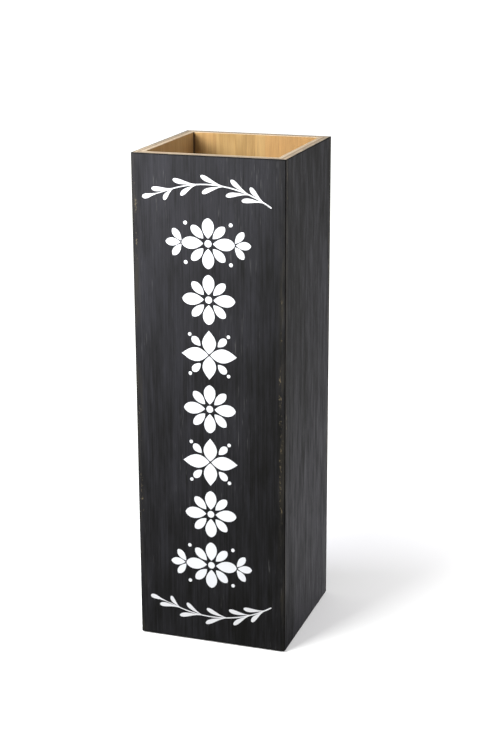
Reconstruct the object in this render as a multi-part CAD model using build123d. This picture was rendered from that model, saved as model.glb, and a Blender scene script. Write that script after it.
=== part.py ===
from build123d import *

import math
import os

# Umbrella stand: a tall, square, open-topped box of four plywood walls, mitred and pinned at the
# corners. A base panel sits inside the walls on four battens, four felt pads keep the walls off the
# ground, and a loose drip tray lies on the base panel and lifts out through the open top.
#
# Units are millimetres. The origin is on the ground under the middle of the stand, +Z is up and
# the decorated front wall faces -Y, so +X is the right-hand side as seen from the front.

# Driving dimensions
SIDE = 189.0  # outside width and depth
HEIGHT = 610.0  # overall height, pads included
WALL = 13.0  # plywood walls
BASE_THICKNESS = 9.0
BATTEN = 15.0  # square section of the battens
PAD_THICKNESS = 1.5
PAD_DIAMETER = 18.0

# Eased edges of the walls
CORNER_RADIUS = 1.2  # upright outer corners
RIM_RADIUS = 0.6  # top and bottom edges
MITRE_CHAMFER = 0.25  # round each mitred end, which leaves a fine V-groove along the joint

# Steel pins, 18 gauge
PIN_DIAMETER = 1.2
PIN_HEAD_DIAMETER = 1.9
PIN_HEAD_THICKNESS = 0.8
PIN_TIP_LENGTH = 1.6
CORNER_PIN_LENGTH = 25.0
CORNER_PIN_COUNT = 8  # up each corner, half of them through each of its two faces
SET_DEPTH = 1.0  # corner pins are punched below the face, and the filler over them is part of the wall
BATTEN_PIN_LENGTH = 20.0
BATTEN_PIN_SPACING = 60.0  # between the two pins that hold a batten to its wall
BASE_PIN_SPACING = 105.0  # between the two pins that hold the base panel to a batten

# Drip tray
TRAY_CLEARANCE = 2.0  # between the tray's lip and the walls, all round
TRAY_HEIGHT = 30.0
TRAY_WALL = 1.8
TRAY_DRAFT = 4.0  # degrees that the tray's sides lean outwards
TRAY_CORNER = 9.0  # outside corner radius at the foot
TRAY_LIP_WIDTH = 2.2
TRAY_LIP_THICKNESS = 2.4
RIB_COUNT = 5
RIB_WIDTH = 3.0
RIB_HEIGHT = 1.5

# Worked out from the above
HALF = SIDE / 2
INNER_SIDE = SIDE - 2 * WALL
INNER_HALF = INNER_SIDE / 2
WALL_BOTTOM = PAD_THICKNESS
WALL_HEIGHT = HEIGHT - WALL_BOTTOM
BATTEN_TOP = WALL_BOTTOM + BATTEN
BASE_TOP = BATTEN_TOP + BASE_THICKNESS
BATTEN_MIDDLE = INNER_HALF - BATTEN / 2  # from the stand's axis to a batten's centre line
TRAY_LIP_SIDE = INNER_SIDE - 2 * TRAY_CLEARANCE
TRAY_TOP_SIDE = TRAY_LIP_SIDE - 2 * TRAY_LIP_WIDTH
TRAY_FOOT_SIDE = TRAY_TOP_SIDE - 2 * TRAY_HEIGHT * math.tan(math.radians(TRAY_DRAFT))

# The four sides in turn, each a quarter turn about +Z from the one before, and the corner that
# each one shares with the next.
SIDES = ("front", "right", "back", "left")
CORNERS = ("front_right", "back_right", "back_left", "front_left")

STANDING = (Align.CENTER, Align.CENTER, Align.MIN)  # centred on the axis, with its foot on the plane


def turned(shape, quarter):
    """The shape turned by a number of quarter turns about the stand's axis."""
    return Rot(0, 0, 90 * quarter) * shape


def without(shape, tools):
    """The shape with the tools cut out of it."""
    for tool in tools:
        shape -= tool
    return shape.solid()


def front_wall():
    """The front wall without its pin holes: a square tube, cut by the two mitres and eased round them."""
    tube = Box(SIDE, SIDE, WALL_HEIGHT, align=STANDING)
    tube = fillet(tube.edges().filter_by(Axis.Z), CORNER_RADIUS)
    tube -= Box(INNER_SIDE, INNER_SIDE, WALL_HEIGHT, align=STANDING)
    tube = fillet(tube.faces().filter_by(Axis.Z).edges(), RIM_RADIUS)
    mitres = Polyline((-SIDE, -SIDE), (SIDE, -SIDE), (0, 0), close=True)
    wall = (tube & extrude(make_face(mitres), WALL_HEIGHT)).solid()
    for facing in (-1, 1):
        mitred_end = wall.faces().filter_by(Axis((0, 0, 0), (facing, 1, 0)))
        wall = chamfer(mitred_end.edges(), MITRE_CHAMFER)
    return Pos(0, 0, WALL_BOTTOM) * wall.solid()


def front_batten(length):
    """A batten along the foot of the front wall."""
    return Pos(0, -BATTEN_MIDDLE, WALL_BOTTOM) * Box(length, BATTEN, BATTEN, align=STANDING)


def base_panel():
    """The panel that closes the bottom, between the walls."""
    return Pos(0, 0, BATTEN_TOP) * Box(INNER_SIDE, INNER_SIDE, BASE_THICKNESS, align=STANDING)


def pin(length):
    """One pin with the flat end of its head at the origin, pointing along +Z."""
    outline = Polyline(
        (0, 0),
        (PIN_HEAD_DIAMETER / 2, 0),
        (PIN_HEAD_DIAMETER / 2, PIN_HEAD_THICKNESS),
        (PIN_DIAMETER / 2, PIN_HEAD_THICKNESS),
        (PIN_DIAMETER / 2, length - PIN_TIP_LENGTH),
        (0, length),
        close=True,
    )
    return revolve(Plane.XZ * make_face(outline), Axis.Z)


def corner_pins():
    """The pins up the front right corner, driven backwards through the front wall and sideways
    through the right wall by turns."""
    across = HALF - WALL / 2
    head = HALF - SET_DEPTH
    backwards = Pos(across, -head, 0) * Rot(-90, 0, 0) * pin(CORNER_PIN_LENGTH)
    sideways = Pos(head, -across, 0) * Rot(0, -90, 0) * pin(CORNER_PIN_LENGTH)
    spacing = WALL_HEIGHT / CORNER_PIN_COUNT
    found = []
    for level in range(CORNER_PIN_COUNT):
        height = WALL_BOTTOM + spacing * (level + 1 / 2)
        found.append(Pos(0, 0, height) * (backwards if level % 2 else sideways))
    return found


def batten_pins():
    """The two pins that hold the front batten to the front wall, driven from inside."""
    outwards = Pos(0, BATTEN - INNER_HALF, WALL_BOTTOM + BATTEN / 2) * Rot(90, 0, 0) * pin(BATTEN_PIN_LENGTH)
    return [Pos(side * BATTEN_PIN_SPACING / 2, 0, 0) * outwards for side in (-1, 1)]


def base_pins():
    """The two pins that hold the base panel to the front batten, driven downwards."""
    downwards = Pos(0, -BATTEN_MIDDLE, BASE_TOP) * Rot(180, 0, 0) * pin(BATTEN_PIN_LENGTH)
    return [Pos(side * BASE_PIN_SPACING / 2, 0, 0) * downwards for side in (-1, 1)]


def felt_pad():
    """The pad under the front right corner, centred where the walls meet the battens."""
    return Pos(INNER_HALF, -INNER_HALF, 0) * Cylinder(PAD_DIAMETER / 2, PAD_THICKNESS, align=STANDING)


def drip_tray():
    """A moulded tray with leaning sides, a lip all round, and low ribs that the umbrellas' tips stand on."""
    floor_side = TRAY_FOOT_SIDE - 2 * TRAY_WALL
    foot = RectangleRounded(TRAY_FOOT_SIDE, TRAY_FOOT_SIDE, TRAY_CORNER)
    hollow = RectangleRounded(floor_side, floor_side, TRAY_CORNER - TRAY_WALL)
    lip = RectangleRounded(TRAY_LIP_SIDE, TRAY_LIP_SIDE, TRAY_CORNER + TRAY_LIP_WIDTH)
    tray = extrude(foot, TRAY_HEIGHT, taper=-TRAY_DRAFT)
    tray += Pos(0, 0, TRAY_HEIGHT - TRAY_LIP_THICKNESS) * extrude(lip, TRAY_LIP_THICKNESS)
    tray -= Pos(0, 0, TRAY_WALL) * extrude(hollow, TRAY_HEIGHT, taper=-TRAY_DRAFT)
    pitch = floor_side / (RIB_COUNT + 1)
    rib = Box(RIB_WIDTH, floor_side - 2 * pitch, RIB_HEIGHT, align=STANDING)
    for number in range(RIB_COUNT):
        tray += Pos(pitch * (number + 1) - floor_side / 2, 0, TRAY_WALL) * rib
    return Pos(0, 0, BASE_TOP) * tray


def main():
    quarters = range(len(SIDES))
    pins_up_corner = [[turned(one, q) for one in corner_pins()] for q in quarters]
    pins_in_battens = [turned(one, q) for q in quarters for one in batten_pins()]
    pins_in_base = [turned(one, q) for q in quarters for one in base_pins()]

    parts = {}
    for q in quarters:
        # A wall is pinned at both ends, and to its batten.
        wall_pins = pins_up_corner[q] + pins_up_corner[q - 1] + pins_in_battens
        parts[f"{SIDES[q]}_panel"] = without(turned(front_wall(), q), wall_pins)
        # The front and back battens run from wall to wall, and the other two fit between them.
        length = INNER_SIDE - (2 * BATTEN if q % 2 else 0)
        batten = turned(front_batten(length), q)
        parts[f"{SIDES[q]}_batten"] = without(batten, pins_in_battens + pins_in_base)
        parts[f"{CORNERS[q]}_corner_pins"] = Compound(children=pins_up_corner[q])
        parts[f"{CORNERS[q]}_felt_pad"] = turned(felt_pad(), q)
    parts["base_panel"] = without(base_panel(), pins_in_base)
    parts["batten_pins"] = Compound(children=pins_in_battens)
    parts["base_pins"] = Compound(children=pins_in_base)
    parts["drip_tray"] = drip_tray()

    os.makedirs("parts", exist_ok=True)
    for name, shape in parts.items():
        export_step(shape, f"parts/{name}.step")


main()
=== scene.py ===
# %% [markdown]
# # A stained plywood umbrella stand
#
# The stand is a tall square box of four mitred plywood walls, black outside and bare inside, with a
# column of white stencilled ornaments down its front. Its shape, joints and sizes are settled already,
# in a model that this lesson loads and never moves. What is left to Blender is the look: the finish of
# every surface, the paint, the light and the camera.
#
# Everything is in metres. The origin is on the ground under the middle of the stand, +Z is up, and the
# decorated wall faces -Y.

# %% Load the frame
import math

import bmesh
import bpy
from mathutils import Matrix, Vector


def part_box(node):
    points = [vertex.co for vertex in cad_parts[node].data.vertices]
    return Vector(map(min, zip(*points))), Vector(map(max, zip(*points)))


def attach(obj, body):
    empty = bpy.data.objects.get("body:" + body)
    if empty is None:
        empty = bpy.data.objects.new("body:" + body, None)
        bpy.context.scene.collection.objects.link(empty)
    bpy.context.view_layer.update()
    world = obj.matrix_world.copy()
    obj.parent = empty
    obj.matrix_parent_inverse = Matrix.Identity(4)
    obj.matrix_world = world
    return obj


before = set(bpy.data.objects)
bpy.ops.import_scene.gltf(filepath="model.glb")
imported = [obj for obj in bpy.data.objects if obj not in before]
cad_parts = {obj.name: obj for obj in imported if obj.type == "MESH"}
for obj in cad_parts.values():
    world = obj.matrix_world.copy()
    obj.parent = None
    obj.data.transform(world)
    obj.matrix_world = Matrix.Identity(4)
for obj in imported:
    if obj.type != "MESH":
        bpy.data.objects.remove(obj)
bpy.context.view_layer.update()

MM = 0.001

# %% [markdown]
# ## The sizes that the finishes need
#
# A pattern on wood has to know where the wood ends: where a wall's outside is, how thick it is, and
# where the joints run. All of that can be read from the model, so nothing here is measured twice. The
# stand is square, so one wall tells about all four.

# %% Read the sizes from the model
SIDES = ("front", "right", "back", "left")  # each a quarter turn about +Z from the one before
CORNERS = ("front_right", "back_right", "back_left", "front_left")

front_low, front_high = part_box("front_panel")
HALF = -front_low.y
WALL = front_high.y - front_low.y
INNER_HALF = HALF - WALL
HEIGHT = front_high.z
FOOT = front_low.z
TRAY_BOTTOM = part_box("drip_tray")[0].z
print(f"half width {HALF / MM:.1f} mm, wall {WALL / MM:.1f} mm, from {FOOT / MM:.1f} to {HEIGHT / MM:.1f} mm")

# %% [markdown]
# ## The camera
#
# The camera comes first, because every later choice is judged through it. The stand is seen from its
# right, from a little above, through a fairly long lens, so that its upright edges lean only slightly
# together. The direction is given as two angles, and the camera's own axes are worked out from them.
# A tracking constraint could aim it instead, but it would hide the small tilt of the horizon.

# %% Place the camera
AZIMUTH = math.radians(18.8)  # from the front, towards the right-hand side
ELEVATION = math.radians(16.5)
TILT = math.radians(-0.3)
DISTANCE = 10.6 * 2 * HALF
LENS = 78.7  # mm, with the long side of the picture 36 mm on the sensor
AIM_HEIGHT = 0.542 * HEIGHT
AIM_RIGHT = 0.05 * HALF


def make_camera():
    """A camera that looks down on the stand, aimed a little above its middle."""
    data = bpy.data.cameras.new("camera")
    data.lens = LENS
    camera = bpy.data.objects.new("camera", data)
    bpy.context.scene.collection.objects.link(camera)
    back = Vector(
        (
            math.sin(AZIMUTH) * math.cos(ELEVATION),
            -math.cos(AZIMUTH) * math.cos(ELEVATION),
            math.sin(ELEVATION),
        )
    )
    level_right = Vector((math.cos(AZIMUTH), math.sin(AZIMUTH), 0))
    level_up = back.cross(level_right)
    right = level_right * math.cos(TILT) + level_up * math.sin(TILT)
    up = level_up * math.cos(TILT) - level_right * math.sin(TILT)
    aim = level_right * AIM_RIGHT + Vector((0, 0, AIM_HEIGHT))
    turn = Matrix((right, up, back)).transposed().to_4x4()
    camera.matrix_world = Matrix.Translation(aim + back * DISTANCE) @ turn
    bpy.context.scene.camera = camera
    return camera


camera = make_camera()
print("camera at", tuple(round(c, 3) for c in camera.location))

# %% [markdown]
# ## A few helpers for node trees
#
# A procedural material is a small calculation, written as nodes. Written out one node at a time it
# takes pages, so these helpers let a material read like the sum that it is: each takes sockets or plain
# numbers, adds one node, and gives back the socket with its result.

# %% Node helpers
def add_node(tree, kind, inputs=None, **settings):
    """Add a node, set its settings, and link or fill its inputs."""
    node = tree.nodes.new(kind)
    for name, value in settings.items():
        setattr(node, name, value)
    for name, value in (inputs or {}).items():
        if isinstance(value, bpy.types.NodeSocket):
            tree.links.new(value, node.inputs[name])
        else:
            node.inputs[name].default_value = value
    return node


def maths(tree, operation, first, second=0.0, third=0.0):
    """One sum on numbers."""
    inputs = {0: first, 1: second, 2: third}
    return add_node(tree, "ShaderNodeMath", inputs, operation=operation).outputs[0]


def smooth_step(tree, value, low, high):
    """0 below low, 1 above high, and a smooth ramp between. With low above high it falls instead."""
    falls = low > high
    inputs = {"Value": value, "From Min": min(low, high), "From Max": max(low, high)}
    inputs.update({"To Min": 1.0 if falls else 0.0, "To Max": 0.0 if falls else 1.0})
    return add_node(tree, "ShaderNodeMapRange", inputs, interpolation_type="SMOOTHSTEP").outputs["Result"]


def blend_colours(tree, factor, first, second, how="MIX"):
    """The first colour where factor is 0, the second where it is 1."""
    node = add_node(tree, "ShaderNodeMix", data_type="RGBA", blend_type=how)
    for socket, value in zip((node.inputs[0], node.inputs[6], node.inputs[7]), (factor, first, second)):
        if isinstance(value, bpy.types.NodeSocket):
            tree.links.new(value, socket)
        else:
            socket.default_value = (*value, 1.0) if isinstance(value, tuple) else value
    return node.outputs[2]


def stretched(tree, vector, across, deep, along):
    """Coordinates scaled for a pattern: how many features it has in a metre, in X, Y and Z."""
    node = add_node(tree, "ShaderNodeMapping", {"Vector": vector, "Scale": (across, deep, along)})
    return node.outputs["Vector"]


def noise(tree, vector, seed, detail=3.0, roughness=0.55, distortion=0.0):
    """Noise from 0 to 1 at scale 1, with a seed that makes each piece's own."""
    inputs = {
        "Vector": vector,
        "W": seed,
        "Scale": 1.0,
        "Detail": detail,
        "Roughness": roughness,
        "Distortion": distortion,
    }
    return add_node(tree, "ShaderNodeTexNoise", inputs, noise_dimensions="4D").outputs["Fac"]


def bumped(tree, height, distance, normal=None):
    """A bump whose full height is the distance, in metres."""
    inputs = {"Height": height, "Distance": distance, "Strength": 1.0}
    if normal is not None:
        inputs["Normal"] = normal
    return add_node(tree, "ShaderNodeBump", inputs).outputs["Normal"]


def new_material(name):
    """An empty material with its surface shader, as the material, its tree and the shader."""
    material = bpy.data.materials.new(name)
    material.use_nodes = True
    tree = material.node_tree
    tree.nodes.clear()
    output = add_node(tree, "ShaderNodeOutputMaterial")
    shader = add_node(tree, "ShaderNodeBsdfPrincipled")
    tree.links.new(shader.outputs["BSDF"], output.inputs["Surface"])
    return material, tree, shader


def connect(tree, shader, **sockets):
    """Link or fill the shader's sockets, named with underscores for spaces."""
    for name, value in sockets.items():
        socket = shader.inputs[name.replace("_", " ")]
        if isinstance(value, bpy.types.NodeSocket):
            tree.links.new(value, socket)
        else:
            socket.default_value = value


def coordinates(tree):
    """The object's own coordinates."""
    return add_node(tree, "ShaderNodeTexCoord").outputs["Object"]


def turned_coordinates(tree, quarter):
    """The object's coordinates, turned so that the wall on any side reads like the front wall."""
    turn = {"Vector": coordinates(tree), "Rotation": (0, 0, -math.radians(90) * quarter)}
    return add_node(tree, "ShaderNodeMapping", turn).outputs["Vector"]


def split(tree, vector):
    """The X, Y and Z of a vector."""
    return add_node(tree, "ShaderNodeSeparateXYZ", {"Vector": vector}).outputs


def grey(tree, value):
    """The grey that has one number as its red, green and blue."""
    return add_node(tree, "ShaderNodeCombineXYZ", {0: value, 1: value, 2: value}).outputs["Vector"]


def dress(node_name, material):
    """Give a node of the model its material."""
    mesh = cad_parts[node_name].data
    mesh.materials.clear()
    mesh.materials.append(material)


print("node helpers ready")

# %% [markdown]
# ## The walls: black stain outside, bare wood inside
#
# Each wall is one board of plywood with three very different skins. The outside was brushed with a wire
# brush and stained black, so fine upright grain shows in it, and the stain has worn through in flecks
# near the corners. The inside is bare golden veneer. The rim shows the plies edge-on.
#
# Three separate materials would need the board's faces sorted into groups, and would meet in ruler-
# straight lines. One material that asks how deep a point lies below the outside face does better: the
# stain can then creep over the edge of the rim unevenly, as a wiped stain does.

# %% Measure where a point lies in a wall
def wall_places(tree, quarter):
    """Where a point lies in its wall: distances in metres from the wall's faces, ends and edges."""
    point = turned_coordinates(tree, quarter)
    x, y, z = split(tree, point)
    side = maths(tree, "ABSOLUTE", x)
    return {
        "point": point,
        "x": x,
        "z": z,
        "depth": maths(tree, "ADD", y, HALF),
        "from_corner": maths(tree, "SUBTRACT", HALF, side),
        "from_inner_corner": maths(tree, "SUBTRACT", INNER_HALF, side),
        "below_rim": maths(tree, "SUBTRACT", HEIGHT, z),
        "above_foot": maths(tree, "SUBTRACT", z, FOOT),
        "from_mitre": maths(tree, "ABSOLUTE", maths(tree, "ADD", side, y)),
    }


# %% [markdown]
# Bare veneer shows its growth rings cut lengthwise, as long bands that wander, narrow and now and then
# close in a tall arch. A wave texture makes bands as even as corduroy. Noise does better: stretched along
# the board and folded back and forth like a contour map, it gives lines that wander and close as real
# ones do. Veneer is laid in strips, so the tone steps from one strip to the next.

# %% Bare veneer
STRIP_WIDTH = 64 * MM
VENEER_LIGHT = (0.395, 0.255, 0.102)
VENEER_DARK = (0.265, 0.16, 0.056)
VENEER_ORANGE = (0.37, 0.215, 0.082)
VENEER_PORE = (0.17, 0.095, 0.035)
RING_FOLDS = 6.0
STRIP_SHIFT = 13 * MM  # so that no joint between strips lies in the middle of a wall


def veneer_colour(tree, point, across, seed):
    """Golden veneer with its grain along Z; across is the coordinate that the strips are counted on."""
    strip = maths(tree, "FLOOR", maths(tree, "DIVIDE", maths(tree, "ADD", across, STRIP_SHIFT), STRIP_WIDTH))
    strip = maths(tree, "ADD", strip, seed)
    tone = add_node(tree, "ShaderNodeTexWhiteNoise", {"W": strip}, noise_dimensions="1D").outputs["Value"]
    slid = add_node(tree, "ShaderNodeCombineXYZ", {"Z": maths(tree, "MULTIPLY", tone, 3.0)}).outputs[0]
    place = add_node(tree, "ShaderNodeVectorMath", {0: point, 1: slid}, operation="ADD").outputs[0]
    hills = noise(tree, stretched(tree, place, 24, 24, 2.6), seed, detail=2.0, roughness=0.5)
    rings = maths(tree, "PINGPONG", maths(tree, "MULTIPLY", hills, RING_FOLDS), 0.5)
    fibres = noise(tree, stretched(tree, place, 620, 620, 22), seed, detail=5.0, roughness=0.7)
    patches = noise(tree, stretched(tree, place, 40, 40, 14), seed + 8, detail=3.0, roughness=0.6)
    pores = noise(tree, stretched(tree, place, 1300, 1300, 90), seed + 11, detail=2.0)
    late = maths(tree, "MULTIPLY", smooth_step(tree, rings, 0.15, 0.55), 0.7)
    ring_colour = blend_colours(tree, late, VENEER_LIGHT, VENEER_DARK)
    warmth = smooth_step(tree, maths(tree, "MULTIPLY_ADD", tone, 0.6, patches), 0.45, 1.1)
    toned = blend_colours(tree, warmth, ring_colour, VENEER_ORANGE)
    pored = maths(tree, "MULTIPLY", smooth_step(tree, pores, 0.62, 0.75), 0.35)
    toned = blend_colours(tree, pored, toned, VENEER_PORE)
    shade = grey(tree, maths(tree, "ADD", fibres, 0.47))
    return blend_colours(tree, 1.0, toned, shade, how="MULTIPLY"), fibres


# %% [markdown]
# On the rim the board shows its edge. Two thick pale plies have their grain along the rim, and the core
# between them has its grain upright, so it shows open pores and looks greyer. A hair of dark glue lies on
# each side of the core. The outer ply is also a little dirty, where the stain was wiped over it.

# %% Plies on the rim
CORE_FROM = 5.2 * MM  # depth below the outside face
CORE_TO = 7.8 * MM
GLUE_LINE = 0.3 * MM
PLY_PALE = (0.57, 0.49, 0.36)
PLY_PEACH = (0.50, 0.36, 0.23)
CORE_GREY = (0.19, 0.165, 0.13)
# The brown of the glue lines between the plies, and also of the painted shade in the inside corners.
GLUE_AND_CORNER_SHADE_BROWN = (0.115, 0.075, 0.04)
WIPED_GREY = (0.14, 0.13, 0.11)


def ply_colour(tree, places, seed):
    """The edge of the board: two pale plies with a greyer core between them."""
    point = places["point"]
    depth = places["depth"]
    pores = noise(tree, stretched(tree, point, 700, 1500, 700), seed + 5, detail=3.0)
    streaks = noise(tree, stretched(tree, point, 50, 2200, 50), seed + 6, detail=3.0)
    smears = noise(tree, stretched(tree, point, 35, 120, 35), seed + 9, detail=4.0)
    pale = blend_colours(tree, smooth_step(tree, streaks, 0.3, 0.7), PLY_PALE, PLY_PEACH)
    core = blend_colours(tree, smooth_step(tree, pores, 0.35, 0.65), CORE_GREY, PLY_PEACH)
    off_core = maths(tree, "ABSOLUTE", maths(tree, "SUBTRACT", depth, (CORE_FROM + CORE_TO) / 2))
    half_core = (CORE_TO - CORE_FROM) / 2
    plies = blend_colours(tree, smooth_step(tree, off_core, half_core, half_core - GLUE_LINE), pale, core)
    from_glue = maths(tree, "ABSOLUTE", maths(tree, "SUBTRACT", off_core, half_core))
    glue = maths(tree, "MULTIPLY", smooth_step(tree, from_glue, GLUE_LINE, 0.0), 0.75)
    plies = blend_colours(tree, glue, plies, GLUE_AND_CORNER_SHADE_BROWN)
    wiped = smooth_step(tree, depth, CORE_TO, 0.0)
    wiped = maths(tree, "MULTIPLY", wiped, smooth_step(tree, smears, 0.25, 0.7))
    return blend_colours(tree, wiped, plies, WIPED_GREY)


# %% [markdown]
# The stain is nearly black, but not evenly so. The wire brush left ridges that hold less of it, so pale
# streaks run up the board, and their cool tint is painted sheen. Broad clouds show where it was wiped, and
# each wall is also painted paler towards one end and one edge and darker towards the others, as painted
# light and shade. It gathered along the rim and the corners, which are the blackest of all; along the foot
# the same darkening is painted shade where the stand meets the floor. A few millimetres in from each
# corner the brush went through to the wood, and left a broken line of short yellowish flecks, except near
# the foot.

# %% Black stain
STAIN_BLACK = (0.0080, 0.0078, 0.0070)
# Pale where the ridges hold less stain; the cool tint of this colour is painted sheen.
STAIN_PALE_SHEEN_TINTED = (0.0295, 0.0290, 0.0328)
STAIN_DUST = (0.10, 0.098, 0.096)
# Also the colour of the painted shade along the foot, where the stand meets the floor.
STAIN_GATHERED_AND_FOOT_SHADE = (0.003, 0.003, 0.003)
STAIN_THIN = (0.034, 0.030, 0.021)
FLECK_OCHRE = (0.18, 0.145, 0.085)
GATHERED_AND_SHADE_WIDTH = 1.6 * MM
WORN_FROM_CORNER = 4.5 * MM
WORN_WANDER = 7 * MM
WORN_SPREAD = 6 * MM  # to each side of the wandering line
WORN_FROM_FOOT = 90 * MM
THIN_WIDTH = 11 * MM
CHIP_LEVEL = 0.76  # the wood shows where the chips' noise is above this
CHIP_WEAR = 0.24  # on a worn line, the level is lower by this


def brushed_ridges(tree, point, seed):
    """The upright ridges that the wire brush left in a wall."""
    return noise(tree, stretched(tree, point, 640, 640, 11), seed + 1, detail=5.0, roughness=0.6)


def stain_colour(tree, places, seed, smearing, painted_slopes):
    """Black stain over brushed grain: its colour, its roughness, the ridges and the worn flecks. The
    colour is also painted paler by the two slopes towards the wall's right edge and its top, as painted light
    and shade."""
    point = places["point"]
    ridges = brushed_ridges(tree, point, seed)
    smears = noise(tree, stretched(tree, point, 120, 120, 16), seed + 12, detail=4.0, roughness=0.65)
    clouds = noise(tree, stretched(tree, point, 20, 20, 8), seed + 2, detail=4.0, roughness=0.6)
    hairs = noise(tree, stretched(tree, point, 850, 850, 30), seed + 3, detail=2.0, roughness=0.6)
    smear_and_painted_light = maths(tree, "MULTIPLY_ADD", smears, smearing, 0.095 - smearing / 2)
    # Painted light and shade: these slopes make the stain paler towards the wall's right edge and its top.
    painted_light_sideways, painted_light_upwards = painted_slopes
    smear_and_painted_light = maths(tree, "MULTIPLY_ADD", places["x"], painted_light_sideways / HALF, smear_and_painted_light)
    smear_and_painted_light = maths(tree, "MULTIPLY_ADD", places["z"], 2 * painted_light_upwards / HEIGHT, smear_and_painted_light)
    smear_and_painted_light = maths(tree, "SUBTRACT", smear_and_painted_light, painted_light_upwards)
    # This holds the clouds of wiping together with that painted light and shade.
    wiped = maths(tree, "MULTIPLY_ADD", clouds, 0.8, smear_and_painted_light)
    amount = maths(tree, "ADD", ridges, maths(tree, "SUBTRACT", wiped, 0.5))
    colour = blend_colours(tree, smooth_step(tree, amount, 0.1, 0.95), STAIN_BLACK, STAIN_PALE_SHEEN_TINTED)
    scratched = smooth_step(tree, hairs, 0.62, 0.70)
    scratched = maths(tree, "MULTIPLY", scratched, smooth_step(tree, clouds, 0.5, 0.6))
    colour = blend_colours(tree, maths(tree, "MULTIPLY", scratched, 0.6), colour, STAIN_DUST)

    thin = smooth_step(tree, places["from_corner"], THIN_WIDTH, 0.3 * THIN_WIDTH)
    thin = maths(tree, "MULTIPLY", thin, smooth_step(tree, smears, 0.4, 0.65))
    colour = blend_colours(tree, maths(tree, "MULTIPLY", thin, 0.7), colour, STAIN_THIN)
    stretch = noise(tree, stretched(tree, point, 9, 9, 9), seed + 13, detail=3.0, roughness=0.7)
    wander = maths(tree, "MULTIPLY_ADD", stretch, 2 * WORN_WANDER, WORN_FROM_CORNER - WORN_WANDER)
    off_line = maths(tree, "ABSOLUTE", maths(tree, "SUBTRACT", places["from_corner"], wander))
    near_line = smooth_step(tree, off_line, WORN_SPREAD, 0.0)
    worn = maths(tree, "MULTIPLY", near_line, smooth_step(tree, stretch, 0.36, 0.56))
    brushed = smooth_step(tree, places["above_foot"], WORN_FROM_FOOT, 2 * WORN_FROM_FOOT)
    worn = maths(tree, "MULTIPLY", worn, brushed)
    chips = noise(tree, stretched(tree, point, 480, 480, 170), seed + 4, detail=6.0, roughness=0.75)
    needed = maths(tree, "MULTIPLY_ADD", worn, -CHIP_WEAR, CHIP_LEVEL)
    fleck = smooth_step(tree, maths(tree, "SUBTRACT", chips, needed), 0.0, 0.07)
    colour = blend_colours(tree, maths(tree, "MULTIPLY", fleck, 0.65), colour, FLECK_OCHRE)

    # Darkest near the rim and the corners, where the stain gathered, and near the foot, where it is painted
    # shade where the stand meets the floor.
    to_edge = maths(tree, "MINIMUM", places["from_corner"], places["below_rim"])
    to_edge = maths(tree, "MINIMUM", to_edge, places["above_foot"])
    gathered_and_foot_shade = smooth_step(tree, to_edge, GATHERED_AND_SHADE_WIDTH, 0.4 * GATHERED_AND_SHADE_WIDTH)
    colour = blend_colours(tree, maths(tree, "MULTIPLY", gathered_and_foot_shade, 0.85), colour, STAIN_GATHERED_AND_FOOT_SHADE)
    dull = maths(tree, "MULTIPLY_ADD", smears, -0.55, maths(tree, "MULTIPLY_ADD", ridges, -0.25, 0.95))
    rough = maths(tree, "MULTIPLY_ADD", gathered_and_foot_shade, 0.3, dull)
    return colour, rough, ridges, fleck


# %% [markdown]
# Now the three skins are put together for one wall. The stain ends about a millimetre in from the
# outside face, on a wavering line. Along the mitres a dark line marks the joint, where stain and dust have
# gathered in the groove, and the inside corners are darkened with painted shade, where the two walls meet.

# %% One wall's material
STAIN_REACH = 0.9 * MM
STAIN_WAVER = 1.6 * MM  # from the least reach to the most
STAIN_SOFTNESS = 0.15 * MM
EDGE_SKIN = 0.6 * MM  # how deep the plies show below the rim and above the foot
# The painted shade in the inside corners is full out to the first distance and gone by the second.
CORNER_SHADE_FULL = 1.2 * MM  # from the inner corner
CORNER_SHADE_ENDS = 2.8 * MM
JOINT_LINE = 0.30 * MM
RIDGE_HEIGHT = 0.35 * MM
FIBRE_HEIGHT = 0.12 * MM
CHIP_DEPTH = 0.15 * MM
GROOVE_BLACK = (0.010, 0.007, 0.005)
WALL_SEEDS = (0.0, 10.0, 20.0, 30.0)  # in the order of the sides, as is the next
# The second part of each row is painted light and shade: how much paler the wall is drawn to its right and
# its top.
SMEARING_AND_PAINTED_LIGHT = (  # how smeared the stain is on a wall, and how much paler it gets to the right and the top
    (0.85, (-0.08, 0.10)),
    (1.6, (0.12, -0.20)),
    (0.95, (0.05, -0.05)),
    (0.85, (-0.05, 0.0)),
)


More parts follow.
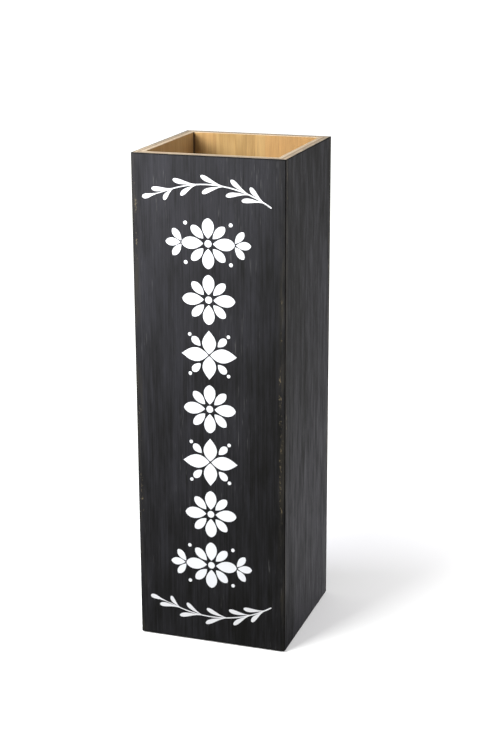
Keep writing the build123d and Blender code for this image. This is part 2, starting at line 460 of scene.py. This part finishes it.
def wall_material(name, quarter):
    """The finish of the wall that is turned by that many quarters from the front."""
    material, tree, shader = new_material(name)
    seed = WALL_SEEDS[quarter]
    places = wall_places(tree, quarter)
    bare, fibres = veneer_colour(tree, places["point"], places["x"], seed)
    plies = ply_colour(tree, places, seed)
    on_rim = smooth_step(tree, places["below_rim"], EDGE_SKIN, EDGE_SKIN / 3)
    on_foot = smooth_step(tree, places["above_foot"], EDGE_SKIN, EDGE_SKIN / 3)
    on_edge = maths(tree, "MAXIMUM", on_rim, on_foot)
    wood = blend_colours(tree, on_edge, bare, plies)
    # Painted shade: the inside corners are darkened, fully near the corner and fading out further along.
    corner_shade = smooth_step(tree, places["from_inner_corner"], CORNER_SHADE_ENDS, CORNER_SHADE_FULL)
    corner_shade = maths(tree, "MULTIPLY", corner_shade, maths(tree, "SUBTRACT", 1.0, on_edge))
    wood = blend_colours(tree, maths(tree, "MULTIPLY", corner_shade, 0.85), wood, GLUE_AND_CORNER_SHADE_BROWN)

    stain, stain_rough, ridges, fleck = stain_colour(tree, places, seed, *SMEARING_AND_PAINTED_LIGHT[quarter])
    waver = noise(tree, stretched(tree, places["point"], 90, 90, 90), seed + 7, detail=3.0)
    reach = maths(tree, "MULTIPLY_ADD", waver, STAIN_WAVER, STAIN_REACH - STAIN_WAVER / 2)
    past_stain = maths(tree, "SUBTRACT", places["depth"], reach)
    stained = smooth_step(tree, past_stain, STAIN_SOFTNESS, -STAIN_SOFTNESS)
    colour = blend_colours(tree, stained, wood, stain)
    joint = smooth_step(tree, places["from_mitre"], JOINT_LINE, 0.5 * JOINT_LINE)
    colour = blend_colours(tree, maths(tree, "MULTIPLY", joint, 0.9), colour, GROOVE_BLACK)

    relief = bumped(tree, ridges, RIDGE_HEIGHT)
    fine = bumped(tree, fibres, FIBRE_HEIGHT, relief)
    chipped = bumped(tree, maths(tree, "SUBTRACT", 1.0, fleck), CHIP_DEPTH, fine)
    bare_rough = maths(tree, "MULTIPLY_ADD", fibres, 0.2, 0.55)
    rough = add_node(tree, "ShaderNodeMix", {0: stained, 2: bare_rough, 3: stain_rough}).outputs[0]
    connect(tree, shader, Base_Color=colour, Roughness=rough, Normal=chipped)
    connect(tree, shader, Specular_IOR_Level=0.10)
    return material


for number, side in enumerate(SIDES):
    dress(f"{side}_panel", wall_material(f"{side}_wall_finish", number))
print("walls finished:", ", ".join(SIDES))

# %% [markdown]
# ## The hidden wood, and the small parts
#
# The base panel and the battens are bare, since nobody sees them unless the stand is turned over. The
# base is the same plywood as the walls. The battens are pine, sawn lengthwise, each with its grain along
# its own length, so the left and right ones need their pattern turned.

# %% Base panel and battens
PINE_LIGHT = (0.70, 0.50, 0.28)
PINE_DARK = (0.52, 0.31, 0.13)


def base_material():
    """Bare plywood that lies flat, with its face grain along Y."""
    material, tree, shader = new_material("bare_base_plywood")
    raw = coordinates(tree)
    lying = {"Vector": raw, "Rotation": (math.radians(90), 0, 0)}
    point = add_node(tree, "ShaderNodeMapping", lying).outputs["Vector"]
    colour, fibres = veneer_colour(tree, point, split(tree, raw)["X"], 50.0)
    rough = maths(tree, "MULTIPLY_ADD", fibres, 0.2, 0.58)
    connect(tree, shader, Base_Color=colour, Roughness=rough, Normal=bumped(tree, fibres, FIBRE_HEIGHT))
    return material


def batten_material(name, quarter, seed):
    """Sawn pine with its grain along the batten and a saw's fine cross marks."""
    material, tree, shader = new_material(name)
    point = turned_coordinates(tree, quarter)
    rings = noise(tree, stretched(tree, point, 9, 320, 320), seed, detail=2.0, distortion=0.6)
    fibres = noise(tree, stretched(tree, point, 30, 1200, 1200), seed + 1, detail=4.0)
    marks = noise(tree, stretched(tree, point, 900, 40, 40), seed + 2, detail=1.0)
    colour = blend_colours(tree, smooth_step(tree, rings, 0.42, 0.62), PINE_LIGHT, PINE_DARK)
    colour = blend_colours(tree, maths(tree, "MULTIPLY", fibres, 0.35), colour, VENEER_DARK)
    sawn = bumped(tree, marks, 0.12 * MM, bumped(tree, fibres, 0.15 * MM))
    rough = maths(tree, "MULTIPLY_ADD", fibres, 0.2, 0.62)
    connect(tree, shader, Base_Color=colour, Roughness=rough, Normal=sawn)
    return material


dress("base_panel", base_material())
for number, side in enumerate(SIDES):
    dress(f"{side}_batten", batten_material(f"{side}_batten_pine", number, 60.0 + 10 * number))
print("base and battens finished")

# %% [markdown]
# The pins are galvanised wire: grey metal, clouded with zinc. The pads are pressed felt, a mat of short
# fibres with no weave, which scatters light at its surface, so it gets a little sheen.

# %% Pins and pads
ZINC_LIGHT = (0.62, 0.63, 0.64)
ZINC_DARK = (0.38, 0.39, 0.41)
FELT_DARK = (0.030, 0.028, 0.027)
FELT_PALE = (0.090, 0.085, 0.080)


def pin_material():
    """Galvanised steel wire."""
    material, tree, shader = new_material("galvanised_wire")
    point = coordinates(tree)
    clouds = noise(tree, stretched(tree, point, 2500, 2500, 2500), 1.0)
    colour = blend_colours(tree, clouds, ZINC_LIGHT, ZINC_DARK)
    rough = maths(tree, "MULTIPLY_ADD", clouds, 0.25, 0.25)
    connect(tree, shader, Base_Color=colour, Roughness=rough, Metallic=1.0)
    return material


def felt_material():
    """Pressed grey felt."""
    material, tree, shader = new_material("pressed_felt")
    point = coordinates(tree)
    fibres = noise(tree, stretched(tree, point, 2200, 2200, 2200), 2.0, detail=5.0, distortion=1.5)
    lumps = noise(tree, stretched(tree, point, 350, 350, 350), 3.0)
    colour = blend_colours(tree, smooth_step(tree, fibres, 0.3, 0.7), FELT_DARK, FELT_PALE)
    nap = bumped(tree, fibres, 0.25 * MM, bumped(tree, lumps, 0.3 * MM))
    connect(tree, shader, Base_Color=colour, Roughness=0.95, Normal=nap, Sheen_Weight=0.4)
    connect(tree, shader, Sheen_Roughness=0.6, Specular_IOR_Level=0.2)
    return material


pin_steel = pin_material()
for name in [f"{corner}_corner_pins" for corner in CORNERS] + ["batten_pins", "base_pins"]:
    dress(name, pin_steel)
pad_felt = felt_material()
for corner in CORNERS:
    dress(f"{corner}_felt_pad", pad_felt)
print("pins and pads finished")

# %% [markdown]
# The drip tray is moulded from black plastic in a spark-eroded mould, which leaves a fine even grain.
# Water has dried in it, so its floor is clouded with thin grey rings of lime. The rings are kept to the
# floor by the height of the point, and fade out up the sides.

# %% Drip tray
TRAY_BLACK = (0.016, 0.016, 0.018)
LIME_GREY = (0.12, 0.12, 0.115)
TRAY_DIRTY_HEIGHT = 12 * MM


def tray_material():
    """Black moulded plastic with dried water marks on its floor."""
    material, tree, shader = new_material("moulded_tray_plastic")
    point = coordinates(tree)
    grain = noise(tree, stretched(tree, point, 2600, 2600, 2600), 4.0, detail=2.0)
    spread = noise(tree, stretched(tree, point, 26, 26, 8), 5.0, detail=2.0, distortion=0.4)
    ring = smooth_step(tree, maths(tree, "ABSOLUTE", maths(tree, "SUBTRACT", spread, 0.52)), 0.02, 0.0)
    low = smooth_step(tree, split(tree, point)["Z"], TRAY_BOTTOM + TRAY_DIRTY_HEIGHT, TRAY_BOTTOM)
    lime = maths(tree, "MULTIPLY", maths(tree, "MULTIPLY", ring, low), 0.35)
    colour = blend_colours(tree, lime, TRAY_BLACK, LIME_GREY)
    rough = maths(tree, "MULTIPLY_ADD", lime, 0.35, 0.42)
    connect(tree, shader, Base_Color=colour, Roughness=rough, Normal=bumped(tree, grain, 0.05 * MM))
    return material


dress("drip_tray", tray_material())
print("drip tray finished")

# %% [markdown]
# ## The white paint
#
# The ornaments are thick white paint laid through a stencil, so each shape has a crisp edge and stands a
# little proud of the wall. A mask in the wall's material could draw them, but its edge would only be as
# sharp as the picture that it is baked to. Real shapes, a sixth of a millimetre thick, stay sharp at any
# distance and catch the light at their edges.
#
# The paint fills the brushed grain without hiding it. Its material repeats the wall's ridges, with the
# same scale and the same seed, at about a third of their height.

# %% Paint finish
PAINT_WHITE = (0.86, 0.87, 0.88)
PAINT_THIN = (0.62, 0.62, 0.62)
PAINT_THICKNESS = 0.16 * MM
PAINTED_RIDGE = 0.12 * MM


def paint_material():
    """Flat white paint over brushed wood, thinner on a few of the ridges."""
    material, tree, shader = new_material("white_stencil_paint")
    point = coordinates(tree)
    ridges = brushed_ridges(tree, point, WALL_SEEDS[0])
    clouds = noise(tree, stretched(tree, point, 45, 45, 20), 8.0)
    dabs = noise(tree, stretched(tree, point, 900, 900, 900), 9.0, detail=2.0)
    thin = smooth_step(tree, maths(tree, "MULTIPLY", ridges, clouds), 0.34, 0.48)
    colour = blend_colours(tree, maths(tree, "MULTIPLY", thin, 0.6), PAINT_WHITE, PAINT_THIN)
    surface = bumped(tree, dabs, 0.03 * MM, bumped(tree, ridges, PAINTED_RIDGE))
    rough = maths(tree, "MULTIPLY_ADD", dabs, 0.15, 0.48)
    connect(tree, shader, Base_Color=colour, Roughness=rough, Normal=surface)
    return material


stencil_white = paint_material()
print("paint mixed")

# %% [markdown]
# ### Leaves
#
# Every ornament here is made of one shape, a leaf. A leaf starts as a disc, and a formula pulls the disc
# in towards its two ends: an end can be round, pointed, or drawn out into a stalk. Leaves could be drawn
# as Bezier curves instead, but then each kind would need its own handles, while a formula with two
# numbers gives petals, leaves and seeds alike.
#
# The shapes are laid out flat, as if the wall lay on a table, and are then given their thickness and
# stood up against the wall.

# %% Leaf helpers
LEAF_POINTS = 40


def add_leaf(flat, length, width, base, tip, place, bend=0.0, stalk=0.0):
    """A leaf that lies along X from the origin of its place. For base and tip, 0.5 is a round end, 1 is
    a pointed one, and more is a drawn-out one. The bend is how far its tip swings off to the left, and
    the stalk is the least width at its base."""
    ring = bmesh.ops.create_circle(flat, cap_ends=True, segments=LEAF_POINTS, radius=1.0)["verts"]
    widest = (base / (base + tip)) ** base * (tip / (base + tip)) ** tip
    for corner in ring:
        along = min(max((1 + corner.co.x) / 2, 0.0), 1.0)
        blade = width / 2 * along**base * (1 - along) ** tip / widest
        half_width = math.hypot(blade, stalk / 2 * (1 - along))
        corner.co = (length * along, math.copysign(half_width, corner.co.y) + bend * along**2, 0.0)
    bmesh.ops.transform(flat, matrix=place, verts=ring)


def add_dot(flat, radius, x, y):
    """A round spot of paint."""
    place = Matrix.Translation((x, y, 0))
    bmesh.ops.create_circle(flat, cap_ends=True, segments=LEAF_POINTS, radius=radius, matrix=place)


def pointing(degrees, x=0.0, y=0.0):
    """A place at x, y whose X axis points in that direction on the plane."""
    return Matrix.Translation((x, y, 0)) @ Matrix.Rotation(math.radians(degrees), 4, "Z")


def add_rings(flat, rings, centre=Matrix()):
    """Rings of leaves round a centre, with their directions counted from its X axis."""
    for directions, inner, length, width, base, tip in rings:
        for degrees in directions:
            outwards = centre @ pointing(degrees) @ Matrix.Translation((inner, 0, 0))
            add_leaf(flat, length, width, base, tip, outwards)


def thicken(flat):
    """Turn flat shapes into closed slabs of paint."""
    made = bmesh.ops.extrude_face_region(flat, geom=flat.faces[:], use_keep_orig=True)
    raised = [part for part in made["geom"] if isinstance(part, bmesh.types.BMVert)]
    bmesh.ops.translate(flat, verts=raised, vec=(0, 0, PAINT_THICKNESS))
    bmesh.ops.recalc_face_normals(flat, faces=flat.faces[:])


def stand_up(flat, height):
    """Stand the shapes against the front wall, with their origin on its centre line at that height."""
    against_wall = Matrix.Translation((0, -HALF, height)) @ Matrix.Rotation(math.radians(90), 4, "X")
    bmesh.ops.transform(flat, matrix=against_wall, verts=flat.verts[:])


def new_object(name, mesh):
    """An object in the scene with the bmesh as its mesh."""
    data = bpy.data.meshes.new(name)
    mesh.to_mesh(data)
    mesh.free()
    made = bpy.data.objects.new(name, data)
    bpy.context.scene.collection.objects.link(made)
    return made


def keep_as_paint(piece):
    """Paint the piece white and let it ride on the stand."""
    piece.data.materials.append(stencil_white)
    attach(piece, "stand")
    print(f"{piece.name}: {len(piece.data.polygons)} faces")


print("leaf helpers ready")

# %% [markdown]
# ### The two sprigs
#
# A sprig arches over the column of ornaments, and another hangs under it. Its stem is an arc that thins
# towards the tip, and its leaves sit in near pairs, all leaning towards the tip. The stem is a strip of a
# grid, bent round the arc by moving its vertices.
#
# The leaves' stalks run into the stem. Left overlapping, they would leave walls inside the paint, so the
# stem and each leaf are made as solids of their own and joined one after another with a Boolean, and the
# result is kept as a plain mesh. The manifold solver gives the same mesh on every run.

# %% Sprigs
SPRIG_MARGIN = 33 * MM  # from the wall's end to the crown of the stem
STEM_RADIUS = 140 * MM
STEM_TIP = -20.0  # degrees round the arc, from its crown
STEM_BUTT = 33.5
STEM_THICK = 1.5 * MM
STEM_THIN = 1.2 * MM
STEM_STEPS = 48
SPRIG_PAIRS = 5
FIRST_PAIR = -17.5
LAST_PAIR = 29.4
PAIR_SKEW = 0.7  # the pairs crowd towards the butt
LEAF_WIDTH = 5.6 * MM
LEAF_DRAWN_OUT = 2.0
LEAF_ROUND = 0.55
STALK_WIDTH = 1.0 * MM
UPPER_LEAF = (27 * MM, 24 * MM, 8.0, -3.0 * MM)  # length at the first pair and the last, lean, bend
LOWER_LEAF = (18 * MM, 27 * MM, -18.0, 4.0 * MM)
MIDDLE_LONGER = 4.5 * MM  # the leaves half way along are longer by this
TIP_LEAF_LENGTH = 37 * MM
TIP_LEAF_DRAWN_OUT = 2.2 * LEAF_DRAWN_OUT
TIP_LEAF_BEND = -2.0 * MM


def on_stem(degrees):
    """The point of the stem's middle line at that angle round the arc."""
    angle = math.radians(degrees)
    return STEM_RADIUS * math.sin(angle), STEM_RADIUS * (math.cos(angle) - 1)


def stem():
    """The stem as a slab."""
    flat = bmesh.new()
    strip = bmesh.ops.create_grid(flat, x_segments=STEM_STEPS, y_segments=1, size=1.0)["verts"]
    for corner in strip:
        along = (corner.co.x + 1) / 2
        angle = math.radians(STEM_TIP + (STEM_BUTT - STEM_TIP) * along)
        half_width = (STEM_THIN + (STEM_THICK - STEM_THIN) * along) / 2
        reach = STEM_RADIUS + half_width * corner.co.y
        corner.co = (reach * math.sin(angle), reach * math.cos(angle) - STEM_RADIUS, 0)
    thicken(flat)
    return flat


def sprig_leaf(length, drawn_out, place, bend, stalk):
    """One leaf of a sprig as a slab."""
    flat = bmesh.new()
    add_leaf(flat, length, LEAF_WIDTH, drawn_out, LEAF_ROUND, place, bend, stalk)
    thicken(flat)
    return flat


def sprig_leaves():
    """The sprig's leaves as slabs: one at the tip, and pairs along the stem."""
    end = pointing(180 - STEM_TIP, *on_stem(STEM_TIP + 1))
    leaves = [sprig_leaf(TIP_LEAF_LENGTH, TIP_LEAF_DRAWN_OUT, end, TIP_LEAF_BEND, STEM_THIN)]
    for pair in range(SPRIG_PAIRS):
        share = pair / (SPRIG_PAIRS - 1)
        share = share + PAIR_SKEW * share**3 * (1 - share)
        angle = FIRST_PAIR + (LAST_PAIR - FIRST_PAIR) * share
        for first_length, last_length, lean, bend in (UPPER_LEAF, LOWER_LEAF):
            length = first_length + (last_length - first_length) * share
            length = length + MIDDLE_LONGER * 4 * share * (1 - share)
            base = pointing(180 - angle - lean, *on_stem(angle))
            leaves.append(sprig_leaf(length, LEAF_DRAWN_OUT, base, bend, STALK_WIDTH))
    return leaves


def united(name, solids):
    """One closed piece made of solids that overlap."""
    piece = new_object(name, solids[0])
    tools = [new_object(f"{name}_tool", solid) for solid in solids[1:]]
    for tool in tools:
        union = piece.modifiers.new("union", "BOOLEAN")
        union.operation = "UNION"
        union.solver = "MANIFOLD"
        union.object = tool
    whole = bpy.data.meshes.new_from_object(piece.evaluated_get(bpy.context.evaluated_depsgraph_get()))
    piece.modifiers.clear()
    piece.data = whole
    for tool in tools:
        bpy.data.objects.remove(tool)
    return piece


def sprig(name, height, upright):
    """A painted sprig whose crown is at that height; upright is 1, or -1 to hang it upside down."""
    solids = [stem(), *sprig_leaves()]
    for solid in solids:
        bmesh.ops.scale(solid, vec=(1, upright, 1), verts=solid.verts[:])
        stand_up(solid, height)
        bmesh.ops.recalc_face_normals(solid, faces=solid.faces[:])
    keep_as_paint(united(name, solids))


sprig("top_sprig", HEIGHT - SPRIG_MARGIN, 1)
sprig("bottom_sprig", FOOT + SPRIG_MARGIN, -1)

# %% [markdown]
# ### The column of ornaments
#
# Between the sprigs stand seven ornaments, one above another at an even pitch. There are three designs,
# all made of leaves set round a centre: a flower with full petals, a pointed star, and a wide flower with
# a spray to each side. The wide one begins and ends the column, and the other two take turns between.

# %% Ornaments
ORNAMENT_PITCH = 67.3 * MM
UP_AND_DOWN = (90, 270)  # degrees
LEFT_AND_RIGHT = (0, 180)
DIAGONALS = (45, 135, 225, 315)

# A ring of leaves is its directions, how far from the centre it starts, the length and width of a leaf,
# and how drawn-out the leaf's base and tip are.
FLOWER_RINGS = (
    (UP_AND_DOWN, 6.2 * MM, 23.8 * MM, 14.5 * MM, 0.85, 0.62),
    (LEFT_AND_RIGHT, 6.2 * MM, 26.5 * MM, 14.5 * MM, 0.85, 0.62),
    (DIAGONALS, 8.5 * MM, 20.5 * MM, 10.5 * MM, 0.85, 0.62),
)
STAR_RINGS = (
    (UP_AND_DOWN, 1.2 * MM, 29.0 * MM, 17.0 * MM, 1.0, 1.15),
    (LEFT_AND_RIGHT, 1.2 * MM, 33.5 * MM, 17.0 * MM, 1.0, 1.15),
    (DIAGONALS, 15.5 * MM, 14.5 * MM, 9.0 * MM, 0.9, 0.6),
)
SPRAY_RINGS = (
    ((0,), 2.6 * MM, 18.5 * MM, 9.5 * MM, 1.0, 0.7),
    ((-52, 52), 2.6 * MM, 17.5 * MM, 8.5 * MM, 1.0, 0.7),
)
SEED_RADIUS = 4.3 * MM
STAR_BERRY_RADIUS = 2.2 * MM
STAR_BERRY_REACH = 34.2 * MM
SPRAY_REACH = 31.5 * MM
SPRAY_BERRY_RADIUS = 2.3 * MM
SPRAY_BERRY_REACH = 28 * MM
SPRAY_BERRY_RISE = 23.5 * MM


def flower():
    """A flower of eight petals round a seed."""
    flat = bmesh.new()
    add_rings(flat, FLOWER_RINGS)
    add_dot(flat, SEED_RADIUS, 0, 0)
    return flat


def star():
    """A star of four long pointed leaves, with a leaf and a berry in each corner between them."""
    flat = bmesh.new()
    add_rings(flat, STAR_RINGS)
    for degrees in DIAGONALS:
        berry = pointing(degrees) @ Vector((STAR_BERRY_REACH, 0, 0))
        add_dot(flat, STAR_BERRY_RADIUS, berry.x, berry.y)
    return flat


def wide_flower():
    """A flower between two sprays of three leaves, with a berry over and under each spray."""
    flat = flower()
    for facing in (-1, 1):
        add_rings(flat, SPRAY_RINGS, pointing(90 - 90 * facing, facing * SPRAY_REACH))
        for above in (-1, 1):
            add_dot(flat, SPRAY_BERRY_RADIUS, facing * SPRAY_BERRY_REACH, above * SPRAY_BERRY_RISE)
    return flat


COLUMN = (
    ("wide_flower_top", wide_flower),
    ("flower_upper", flower),
    ("star_upper", star),
    ("flower_middle", flower),
    ("star_lower", star),
    ("flower_lower", flower),
    ("wide_flower_bottom", wide_flower),
)
column_middle = (FOOT + HEIGHT) / 2
for number, (name, design) in enumerate(COLUMN):
    shape = design()
    thicken(shape)
    stand_up(shape, column_middle + ORNAMENT_PITCH * ((len(COLUMN) - 1) / 2 - number))
    keep_as_paint(new_object(name, shape))

# %% [markdown]
# ## The floor and the light
#
# The stand is shown on a white sheet that runs out to a white surround. A soft box stands in front and
# to the left, fairly low, so that it throws a long shadow to the back and reaches over the rim into the
# well. A large white card on the right throws back a little cool light, which lifts the shaded side. A
# small card stands close by on the left, so the front is paler towards its left edge. An even fill comes
# from overhead.
#
# Two studio tricks keep the white white and the black black. The sheet glows from below like a light
# table, more so further out, and that keeps the shadow pale and lets it fade away. And a black card lies
# on it in front, because the faint gloss of the stain would mirror a white floor and turn grey. The
# Light Path node hides both: it tells what the camera sees from what lights the stand.

# %% Floor
FLOOR_SIZE = 8.0  # metres
FLOOR_WHITE = 0.87
FLOOR_TINT = (0.995, 1.0, 0.965)  # barely warm, which evens out the cool light of the cards
CARD_BLACK = 0.07
CARD_EDGE = 0.15  # the card fades out from this far in front of the stand's middle to this far behind it
GLOW_NEAR = 0.03
GLOW_FAR = 0.85
GLOW_FROM = 0.2  # metres from the middle
GLOW_TO = 1.1


def is_seen(tree):
    """One for what the camera sees directly, and zero for mirrored and scattered light."""
    return add_node(tree, "ShaderNodeLightPath").outputs["Is Camera Ray"]


def make_floor():
    """A large white sheet under the stand."""
    sheet = bmesh.new()
    bmesh.ops.create_grid(sheet, x_segments=1, y_segments=1, size=FLOOR_SIZE / 2)
    floor = new_object("floor", sheet)
    material, tree, shader = new_material("white_floor")
    seen = is_seen(tree)
    point = coordinates(tree)
    off_card = smooth_step(tree, split(tree, point)["Y"], -CARD_EDGE, CARD_EDGE)
    bounce = maths(tree, "MULTIPLY_ADD", off_card, FLOOR_WHITE - CARD_BLACK, CARD_BLACK)
    white = maths(tree, "MAXIMUM", bounce, maths(tree, "MULTIPLY", seen, FLOOR_WHITE))
    outwards = add_node(tree, "ShaderNodeVectorMath", {0: point}, operation="LENGTH").outputs["Value"]
    spread = smooth_step(tree, outwards, GLOW_FROM, GLOW_TO)
    glow = maths(tree, "MULTIPLY_ADD", spread, GLOW_FAR - GLOW_NEAR, GLOW_NEAR)
    glow = maths(tree, "MULTIPLY", seen, glow)
    paper = blend_colours(tree, 1.0, grey(tree, white), FLOOR_TINT, how="MULTIPLY")
    connect(tree, shader, Base_Color=paper, Roughness=0.9, Specular_IOR_Level=0.1)
    connect(tree, shader, Emission_Color=(*FLOOR_TINT, 1.0), Emission_Strength=glow)
    floor.data.materials.append(material)


make_floor()
print("floor laid")

# %% Lights
SURROUND = 1.2  # what the camera sees behind the stand
FILL_ABOVE = 0.60
FILL_AROUND = 0.25
FILL_RISES = (0.1, 0.9)  # how far up a direction points where the fill starts to grow, and where it ends

# Azimuths are degrees round from the front to the right, and each panel is aimed at a point on the
# stand's own axis, at that share of its height.
PANELS = {
    "soft_box": {
        "azimuth": -31,
        "elevation": 29,
        "distance": 1.0,
        "aim": 0.7,
        "size": (0.6, 0.32),
        "watts": 20.0,
        "colour": (0.97, 0.98, 1.0),
    },
    "white_card": {
        "azimuth": 105,
        "elevation": 25,
        "distance": 0.9,
        "aim": 0.35,
        "size": (0.8, 0.8),
        "watts": 7.4,
        "colour": (0.945, 0.925, 1.0),
    },
    "near_card": {
        "azimuth": -75,
        "elevation": 12,
        "distance": 0.42,
        "aim": 0.66,
        "size": (0.2, 0.45),
        "watts": 3.4,
        "colour": (0.86, 0.86, 1.0),
    },
}


def make_panel(name, azimuth, elevation, distance, aim, size, watts, colour):
    """A flat soft light of that width and length, which faces the stand."""
    data = bpy.data.lights.new(name, "AREA")
    data.shape = "RECTANGLE"
    data.size, data.size_y = size
    data.energy = watts
    data.color = colour
    light = bpy.data.objects.new(name, data)
    light.visible_camera = False
    bpy.context.scene.collection.objects.link(light)
    around = math.radians(azimuth)
    back = Vector((math.sin(around), -math.cos(around), math.tan(math.radians(elevation)))).normalized()
    turn = back.to_track_quat("Z", "Y").to_matrix().to_4x4()
    light.matrix_world = Matrix.Translation(Vector((0, 0, aim * HEIGHT)) + back * distance) @ turn


def make_surround():
    """White as far as the eye can see, though what lights the stand comes mostly from overhead."""
    world = bpy.data.worlds.new("studio")
    world.use_nodes = True
    tree = world.node_tree
    tree.nodes.clear()
    direction = add_node(tree, "ShaderNodeTexCoord").outputs["Generated"]
    overhead = smooth_step(tree, split(tree, direction)["Z"], *FILL_RISES)
    fill = maths(tree, "MULTIPLY_ADD", overhead, FILL_ABOVE - FILL_AROUND, FILL_AROUND)
    more = maths(tree, "SUBTRACT", SURROUND, fill)
    strength = maths(tree, "MULTIPLY_ADD", is_seen(tree), more, fill)
    glow = add_node(tree, "ShaderNodeBackground", {"Color": (1, 1, 1, 1), "Strength": strength})
    output = add_node(tree, "ShaderNodeOutputWorld")
    tree.links.new(glow.outputs[0], output.inputs["Surface"])
    bpy.context.scene.world = world


make_surround()
for name, settings in PANELS.items():
    make_panel(name, **settings)
bpy.context.scene.view_settings.view_transform = "Standard"  # no film curve, so white stays white
print("lights set:", ", ".join(PANELS))
